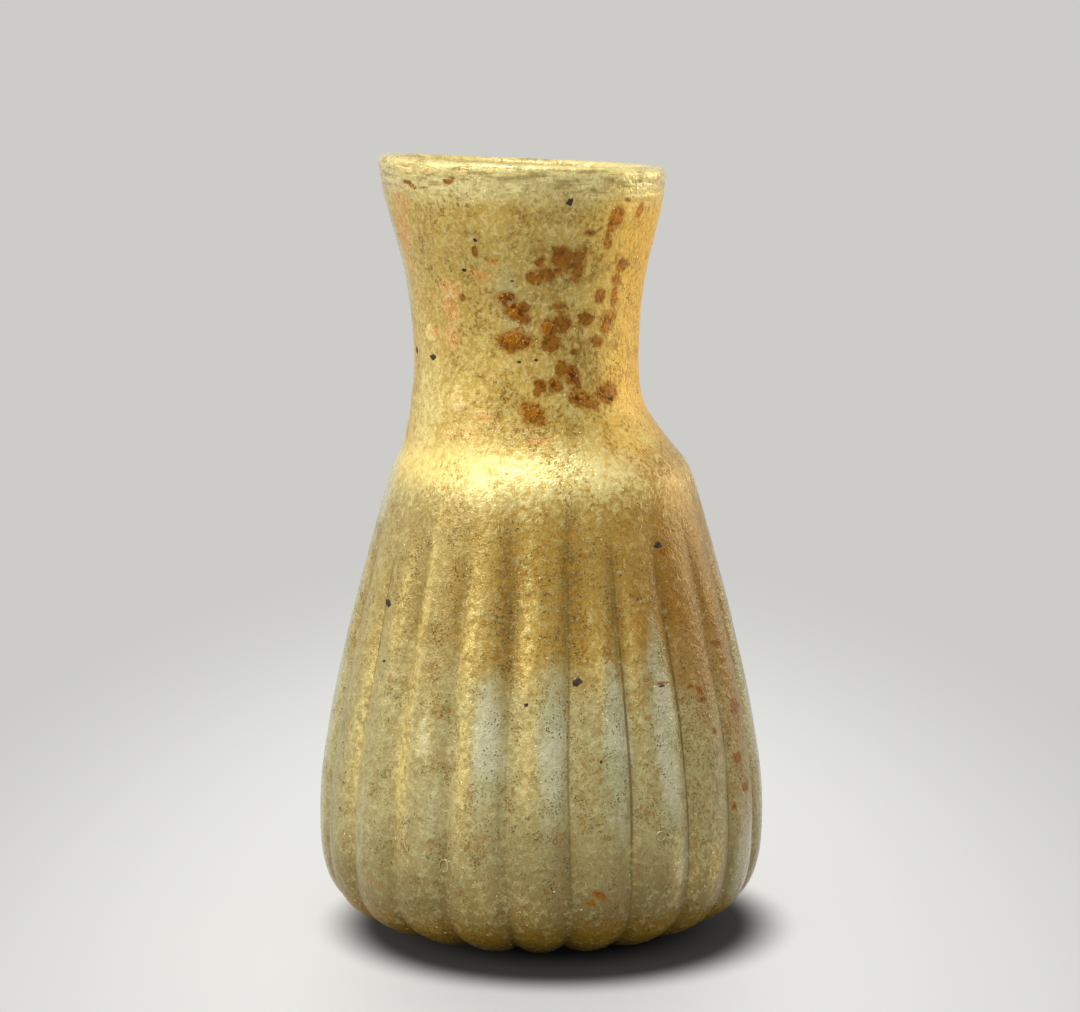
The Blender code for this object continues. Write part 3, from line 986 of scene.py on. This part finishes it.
# Bubble rings: the steps round the ring and round its tube, and the tube.
RING_STEPS = 20
TUBE_STEPS = 6
TUBE_RADIUS = 0.09 * MM

# Scattered grains: the reach of their clusters and how flat they lie.
GRAIN_CLUSTER = 3 * MM
GRAIN_FLATNESS = 0.45


def closed_patch(mesh, skin, centre, normal, reach, turn, lift, seed):
    """Adds a lumpy closed patch that lies on the skin, its rim sunk a little into it.

    Reach is the half width and half height, lift the height in the middle, and turn is in degrees.
    """
    draw = random.Random(seed)
    across = Vector((0, 0, 1)).cross(normal).normalized()
    upward = normal.cross(across)
    waves = [(k, draw.uniform(-OUTLINE_SWING, OUTLINE_SWING) / k**0.5, draw.uniform(0, math.tau))
             for k in OUTLINE_WAVES]
    spin = math.radians(turn)

    def point(share, angle, raised):
        outline = 1 + sum(size * 0.5 * math.cos(k * angle + start) for k, size, start in waves)
        x, y = share * outline * reach[0] * math.cos(angle), share * outline * reach[1] * math.sin(angle)
        x, y = x * math.cos(spin) - y * math.sin(spin), x * math.sin(spin) + y * math.cos(spin)
        nearest, facing, _, _ = skin.find_nearest(centre + across * x + upward * y)
        return mesh.verts.new(nearest + facing * raised)

    top = []
    for ring in range(1, FLAKE_RINGS + 1):
        share = ring / FLAKE_RINGS
        at_rim = ring == FLAKE_RINGS
        body = (1 - share**5) * lift - (SUNK_RIM if at_rim else 0.0)
        lumps = 0.0 if at_rim else LUMPINESS
        raised = [body * (1 + lumps * draw.uniform(-1, 1)) for _ in range(FLAKE_SPOKES)]
        top.append([point(share, math.tau * i / FLAKE_SPOKES, raised[i]) for i in range(FLAKE_SPOKES)])
    crown = point(0.0, 0.0, lift)
    bottom = point(0.0, 0.0, -2 * SUNK_RIM)
    for i in range(FLAKE_SPOKES):
        j = (i + 1) % FLAKE_SPOKES
        mesh.faces.new((crown, top[0][i], top[0][j]))
        for lower, upper in zip(top[1:], top):
            mesh.faces.new((upper[i], lower[i], lower[j], upper[j]))
        mesh.faces.new((bottom, top[-1][j], top[-1][i]))


def piece_from(mesh, name, material):
    """Turns a bmesh into a smooth-shaded object of the flask."""
    bmesh.ops.recalc_face_normals(mesh, faces=mesh.faces)
    data = bpy.data.meshes.new(name)
    mesh.to_mesh(data)
    mesh.free()
    data.materials.append(material)
    data.shade_smooth()
    piece = bpy.data.objects.new(name, data)
    bpy.context.scene.collection.objects.link(piece)
    return piece


def flakes(name, material, things, skin, share, lift, seed):
    """One piece of all the flakes in a table, each laid on the glass where the photograph shows it.

    Share is how much of a thing's width and height its flake reaches to each side.
    """
    mesh = bmesh.new()
    for number, (across, down, width, height, turn) in enumerate(things.values()):
        centre, normal, seen = on_glass(skin, across, down)
        reach = (width * share * PIXEL / seen, height * share * PIXEL)
        high = lift * min(1.0, min(width, height) / SLIM_FLAKE)
        closed_patch(mesh, skin, centre, normal, reach, turn, high, seed + number)
    return piece_from(mesh, name, material)


def stained_spots(skin, things):
    """The spots of glass that the things in a table stain, as spot_strength takes them."""
    spots = []
    for across, down, width, height, turn in things.values():
        centre, normal, seen = on_glass(skin, across, down)
        spots.append((centre, normal, width / 2 * PIXEL / seen, height / 2 * PIXEL, math.radians(turn)))
    return spots


def bubble_rings(material, skin):
    """Thin raised rings where bubbles lie just under the skin of the glass."""
    mesh = bmesh.new()
    for across, down, radius in BUBBLE_RINGS.values():
        centre, normal, _ = on_glass(skin, across, down)
        side = Vector((0, 0, 1)).cross(normal).normalized()
        upward = normal.cross(side)
        loops = []
        for i in range(RING_STEPS):
            angle = math.tau * i / RING_STEPS
            spoke = side * math.cos(angle) + upward * math.sin(angle)
            nearest, facing, _, _ = skin.find_nearest(centre + spoke * radius * PIXEL)
            turns = [math.tau * k / TUBE_STEPS for k in range(TUBE_STEPS)]
            tube = [spoke * math.cos(turn) + facing * math.sin(turn) for turn in turns]
            loops.append([mesh.verts.new(nearest + way * TUBE_RADIUS) for way in tube])
        for i in range(RING_STEPS):
            for k in range(TUBE_STEPS):
                after, beside = (i + 1) % RING_STEPS, (k + 1) % TUBE_STEPS
                mesh.faces.new((loops[i][k], loops[after][k], loops[after][beside], loops[i][beside]))
    return piece_from(mesh, "bubble_rings", material)


def grain_tree(name, material, density, smallest, largest, seed, zone):
    """Scatters small flattened grains over the outside of the glass, denser where the zone is strong."""
    inputs = {
        "Density": ("NodeSocketFloat", density),
        "Smallest Grain": ("NodeSocketFloat", smallest),
        "Largest Grain": ("NodeSocketFloat", largest),
        "Seed": ("NodeSocketInt", seed),
    }
    tree, entry, leave = new_geometry_tree(name, inputs)
    given = {socket.name: Field(tree, socket) for socket in entry.outputs if socket.name}
    outside = output(tree, "GeometryNodeInputNamedAttribute", {"Name": "outside"}, data_type="FLOAT")
    wanted = output(tree, "GeometryNodeInputNamedAttribute", {"Name": zone}, data_type="FLOAT")
    place = output(tree, "GeometryNodeInputPosition")
    clusters = ramp(noise(tree, place, 1 / GRAIN_CLUSTER, detail=3.0, roughness=0.6), 0.42, 0.62)
    share = ramp(outside, 0.8, 0.95) * (clusters * 0.7 + 0.15) * (wanted + 0.02)
    scatter = node(tree, "GeometryNodeDistributePointsOnFaces",
                   {"Mesh": given["Geometry"], "Density": share * given["Density"], "Seed": given["Seed"]})
    grain = output(tree, "GeometryNodeMeshIcoSphere", {"Radius": 1.0, "Subdivisions": 1})
    size = output(tree, "FunctionNodeRandomValue", {"Seed": given["Seed"]}, name="Value", data_type="FLOAT")
    tree.links.new(given["Smallest Grain"].socket, size.socket.node.inputs[2])
    tree.links.new(given["Largest Grain"].socket, size.socket.node.inputs[3])
    flat = vector(tree, size, size, size * GRAIN_FLATNESS)
    placed = node(tree, "GeometryNodeInstanceOnPoints",
                  {"Points": Field(tree, scatter.outputs["Points"]), "Instance": grain,
                   "Rotation": Field(tree, scatter.outputs["Rotation"]), "Scale": flat})
    smooth = output(tree, "GeometryNodeSetShadeSmooth", {"Geometry": Field(tree, placed.outputs[0])})
    close_tree(tree, leave, smooth, material)
    return tree


def grains(glass, name, material, density, smallest, largest, seed, zone):
    """One piece of grains scattered on the glass."""
    tree = grain_tree(name, material, density, smallest, largest, seed, zone)
    piece = bpy.data.objects.new(name, grown(glass, tree))
    bpy.context.scene.collection.objects.link(piece)
    return piece


def glass_wall(material):
    """The fine mesh of the whole vessel."""
    section = section_object()
    mesh = grown(section, wall_tree(material))
    section.data = mesh
    return section


def skin_of(piece):
    """A search tree that finds places on a piece's surface."""
    return BVHTree.FromPolygons([vertex.co for vertex in piece.data.vertices],
                                [polygon.vertices for polygon in piece.data.polygons])


# The studio: the floor's flat part and the dish it curves up into, its tones, its pool of light and its air.
FLOOR_RADIUS = 0.30
DISH_RADIUS = 1.5
DISH_HEIGHT = 0.95
DISH_STEPS = 96
DISH_ROWS = 40
FLOOR_GREY = (0.62, 0.62, 0.61, 1.0)
APRON_GREY = (0.30, 0.30, 0.295, 1.0)
BACKGROUND_GREY = (0.61, 0.604, 0.578, 1.0)
POOL_ACROSS = 0.085
POOL_DEEP = 0.26
POOL_EDGE = (0.30, 1.15)
NO_PAPER = (0.0, 0.0, 0.0, 1.0)
AIR_COLOUR = (0.80, 0.80, 0.79, 1.0)
AIR_STRENGTH = 0.25

# The flask's soft contact shade, painted on the paper: its middle, the reach of its dark core and of its rim,
# and the fainter apron in front of it.
SHADE_PLACE = (1.9 * MM, -3.5 * MM)
SHADE_CORE = (12 * MM, 22 * MM)
SHADE_RIM = (21.4 * MM, 29.4 * MM)
SHADE_BLACK = (0.002, 0.002, 0.002, 1.0)
SHADE_GREY = (0.032, 0.030, 0.028, 1.0)
APRON_PLACE = -30 * MM
APRON = (32 * MM, 4 * MM)
APRON_STRENGTH = 0.40


def studio_paper():
    """White paper with the flask's contact shade on it, that turns into an evenly lit grey background."""
    material, tree, shader = new_material("studio_paper")
    x, y, _ = parts_of(tree, output(tree, "ShaderNodeTexCoord", name="Object"))
    reach = combine(tree, "SQRT", (x / POOL_ACROSS) ** 2.0 + (y / POOL_DEEP) ** 2.0)
    away = ramp(reach, *POOL_EDGE)
    shade = combine(tree, "SQRT", (x - SHADE_PLACE[0]) ** 2.0 + (y - SHADE_PLACE[1]) ** 2.0)
    core = blend(ramp(shade, *SHADE_CORE), SHADE_BLACK, SHADE_GREY)
    apron = ramp(combine(tree, "SQRT", x ** 2.0 + (y - APRON_PLACE) ** 2.0), *APRON)
    paper = blend(ramp(shade, *SHADE_RIM), core, blend(apron * APRON_STRENGTH, FLOOR_GREY, APRON_GREY))
    feed(tree, shader.inputs["Base Color"], blend(away, paper, NO_PAPER))
    shader.inputs["Roughness"].default_value = 0.9
    shader.inputs["Specular IOR Level"].default_value = 0.0
    shader.inputs["Emission Color"].default_value = BACKGROUND_GREY
    feed(tree, shader.inputs["Emission Strength"], away)
    return material


def studio():
    """A pale floor that curves up into the background all round, and dim air above it. Returns the floor."""
    mesh = bmesh.new()
    turns = [math.tau * i / DISH_STEPS for i in range(DISH_STEPS)]
    rings = []
    for row in range(DISH_ROWS + 1):
        share = row / DISH_ROWS
        radius = FLOOR_RADIUS + (DISH_RADIUS - FLOOR_RADIUS) * math.sin(share * math.pi / 2)
        height = DISH_HEIGHT * (1 - math.cos(share * math.pi / 2))
        rings.append([mesh.verts.new((radius * math.cos(turn), radius * math.sin(turn), height))
                      for turn in turns])
    mesh.faces.new(rings[0])
    for inner, outer in zip(rings, rings[1:]):
        for i in range(DISH_STEPS):
            j = (i + 1) % DISH_STEPS
            mesh.faces.new((inner[i], outer[i], outer[j], inner[j]))
    floor = piece_from(mesh, "studio_floor", studio_paper())

    world = bpy.data.worlds.new("studio_air")
    bpy.context.scene.world = world
    world.use_nodes = True
    world.node_tree.nodes["Background"].inputs["Color"].default_value = AIR_COLOUR
    world.node_tree.nodes["Background"].inputs["Strength"].default_value = AIR_STRENGTH
    return floor


# Lamps, each as (kind, place, aim, size, power, colour). The last one lights the floor, the others the flask.
LIGHTS = {
    "overhead": ("AREA", (-0.06, -0.12, 0.55), (0.0, 0.0, 0.03), 0.20, 2.2, (1.0, 1.0, 0.98)),
    "upper_left": ("AREA", (-0.40, -0.20, 0.36), (0.0, 0.0, 0.04), 0.16, 1.2, (1.0, 0.96, 0.86)),
    "warm_back_right": ("AREA", (0.34, 0.22, 0.12), (0.0, 0.0, 0.07), 0.14, 0.28, (1.0, 0.84, 0.46)),
    "neck_spot": ("SPOT", (0.36, 0.12, 0.11), (0.0, 0.0, 0.080), 0.06, 9.0, (1.0, 0.86, 0.46)),
    "floor_softbox": ("AREA", (-0.05, 0.03, 0.60), (0.0, 0.0, 0.0), 0.17, 3.75, (1.0, 1.0, 1.0)),
}

# The narrow cone that keeps the spot's light on the neck, and how softly it ends.
SPOT_CONE = math.radians(5.6)
SPOT_BLEND = 0.7


def light(name, kind, place, aim, size, power, colour):
    """A spot or a round area lamp that looks at its aim."""
    data = bpy.data.lights.new(name, kind)
    if kind == "SPOT":
        data.shadow_soft_size = size / 2
        data.spot_size = SPOT_CONE
        data.spot_blend = SPOT_BLEND
    else:
        data.shape = "DISK"
        data.size = size
    data.energy = power
    data.color = colour
    lamp = bpy.data.objects.new(name, data)
    lamp.location = place
    lamp.rotation_euler = (Vector(aim) - Vector(place)).to_track_quat("-Z", "Y").to_euler()
    bpy.context.scene.collection.objects.link(lamp)
    return lamp


def camera():
    """The camera at the photograph's place and angle."""
    data = bpy.data.cameras.new("photo_camera")
    data.sensor_width = SENSOR_WIDTH
    data.lens = FOCAL_PIXELS * SENSOR_WIDTH / PHOTO_WIDTH
    data.clip_start = NEAREST_SEEN
    eye = bpy.data.objects.new("photo_camera", data)
    eye.location = CAMERA_PLACE
    eye.rotation_euler = (CAMERA_AIM - CAMERA_PLACE).to_track_quat("-Z", "Y").to_euler()
    bpy.context.scene.collection.objects.link(eye)
    bpy.context.scene.camera = eye


def mark_glass(glass, skin):
    """Stores on the glass where it is clear, amber, pale, dirty, murky, blushing and rusty. Some clear, pale
    and amber stretches are painted light and shade.
    """
    for name, zones in GLASS_ZONES.items():
        keep_on_mesh(glass.data, name, zone_strength(glass.data, zones))
    blushing = np.maximum(zone_strength(glass.data, BLUSH_ZONES),
                          spot_strength(glass.data, stained_spots(skin, BLUSH_SPOTS)))
    keep_on_mesh(glass.data, "blush", blushing)
    rusty = spot_strength(glass.data, stained_spots(skin, RUST_SPOTS) + stained_spots(skin, IRON_FLAKES))
    keep_on_mesh(glass.data, "rust", rusty)


def weathering(glass, skin):
    """The pieces that lie on the glass."""
    thick = {name: IRON_FLAKES[name] for name in THICK_FLAKES}
    speck = grit("dark_grit", SPECK_TONES, roughness=0.55)
    bubble = grit("bubble_glass", BUBBLE_TONES, roughness=0.25)
    gold = grit("gold_grain", GOLD_GRAIN_TONES, roughness=0.3)
    brown = grit("brown_grain", BROWN_GRAIN_TONES, roughness=0.6)
    return [
        flakes("iron_deposits", iron_deposit(), thick, skin, share=0.40, lift=0.11 * MM, seed=100),
        # The pale crust piece also holds the flake that paints the lip's glint.
        flakes("pale_crust_and_glint", pale_crust_and_glint(), CRUST_AND_GLINT_FLAKES, skin, share=0.5, lift=0.10 * MM, seed=300),
        flakes("dark_grit", speck, DARK_SPECKS, skin, share=0.5, lift=0.14 * MM, seed=500),
        bubble_rings(bubble, skin),
        grains(glass, "gold_grains", gold, density=1.1e6, smallest=0.05 * MM, largest=0.13 * MM,
               seed=7, zone="pale"),
        grains(glass, "brown_grains", brown, density=3.5e5, smallest=0.05 * MM, largest=0.12 * MM,
               seed=11, zone="amber"),
    ]


def link_lamps(lamps, flask, floor):
    """Lets the floor's lamp light the floor alone, without a shadow, and the other lamps the flask alone."""
    flask_lit = bpy.data.collections.new("lit_by_flask_lamps")
    for piece in flask:
        flask_lit.objects.link(piece)
    floor_lit = bpy.data.collections.new("lit_by_floor_lamp")
    floor_lit.objects.link(floor)
    for name, lamp in lamps.items():
        lamp.light_linking.receiver_collection = floor_lit if name == "floor_softbox" else flask_lit
    lamps["floor_softbox"].light_linking.blocker_collection = floor_lit


def main():
    camera()
    floor = studio()
    lamps = {name: light(name, *settings) for name, settings in LIGHTS.items()}
    bpy.context.scene.view_settings.view_transform = "Standard"

    glass = glass_wall(weathered_glass())
    skin = skin_of(glass)
    mark_glass(glass, skin)
    pieces = weathering(glass, skin)
    link_lamps(lamps, [glass] + pieces, floor)
    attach(glass, "root")
    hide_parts("flask_glass")
    for piece in pieces:
        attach(piece, "root")


main()
